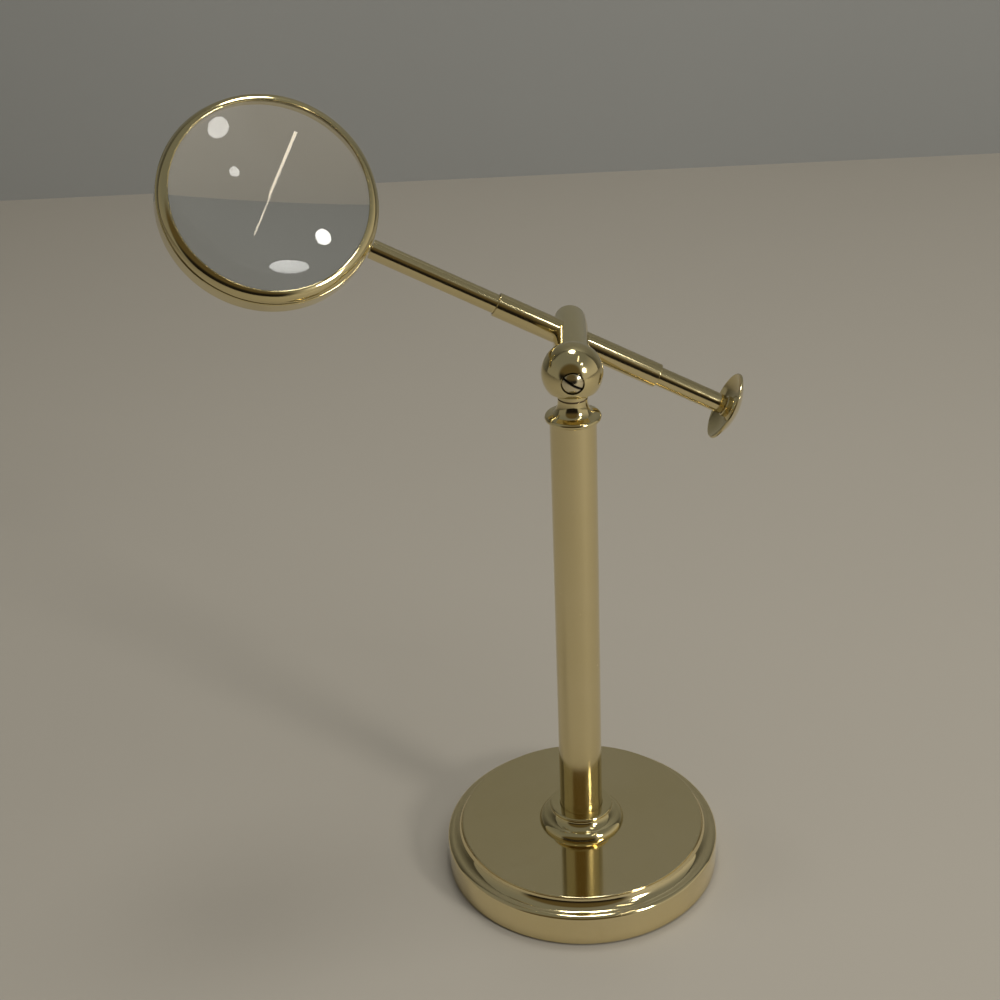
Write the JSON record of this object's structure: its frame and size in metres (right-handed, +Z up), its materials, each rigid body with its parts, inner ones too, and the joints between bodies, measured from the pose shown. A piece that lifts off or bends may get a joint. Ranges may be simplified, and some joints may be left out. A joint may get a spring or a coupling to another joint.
{
  "type": "stand magnifier",
  "caption": "Brass bench magnifier: a framed lens on a rod that slides and turns in a tilting tube, on a swivelling ball head over a column and a weighted round base.",
  "frame": {"origin": "centre of the baize under the base, on the surface the stand rests on", "axes": "+Z up along the column, -X from the column towards the lens as posed at rest, +Y from the ball along the spindle"},
  "size_m": [0.2064, 0.1152, 0.3005],
  "materials": {
    "polished_brass": "polished and lacquered",
    "plain_brass": "as turned",
    "iron": "rough cast",
    "steel": "plain",
    "leather": "waxed",
    "baize": "napped",
    "glass": "polished"
  },
  "bodies": {
    "stand": {"base_shell": "polished_brass", "base_ballast": "iron", "base_baize": "baize", "base_bolt": "steel", "base_washer": "steel", "foot_collar": "polished_brass", "column_foot_plug": "plain_brass", "column_tube": "polished_brass", "column_cap": "polished_brass", "swivel_washer": "leather"},
    "head": {"pivot_ball": "polished_brass", "swivel_nut": "plain_brass", "tilt_washer": "leather"},
    "arm": {"tilt_spindle": "polished_brass", "tilt_screw": "polished_brass", "tilt_spring": "steel", "socket_tube": "polished_brass"},
    "sleeve": {"friction_sleeve": "plain_brass"},
    "rod": {"slide_rod": "polished_brass", "finger_knob": "polished_brass", "lens_cell": "polished_brass", "bezel_ring": "polished_brass", "lens_packing": "leather", "lens_glass": "glass"}
  },
  "joints": [
    {"name": "head_swivel", "type": "hinge", "parent": "stand", "child": "head", "pos_m": [0, 0, 0.2125], "axis": [0, 0, 1], "continuous": true},
    {"name": "arm_tilt", "type": "hinge", "parent": "head", "child": "arm", "pos_m": [0, 0, 0.2125], "axis": [0, 1, 0], "range_deg": [-82, 47.8]},
    {"name": "rod_turn", "type": "hinge", "parent": "arm", "child": "sleeve", "pos_m": [0, 0.032, 0.2125], "axis": [-0.8894, 0, 0.4571], "continuous": true},
    {"name": "rod_slide", "type": "slide", "parent": "sleeve", "child": "rod", "axis": [-0.8894, 0, 0.4571], "range_m": [-0.049, 0.027]}
  ]
}
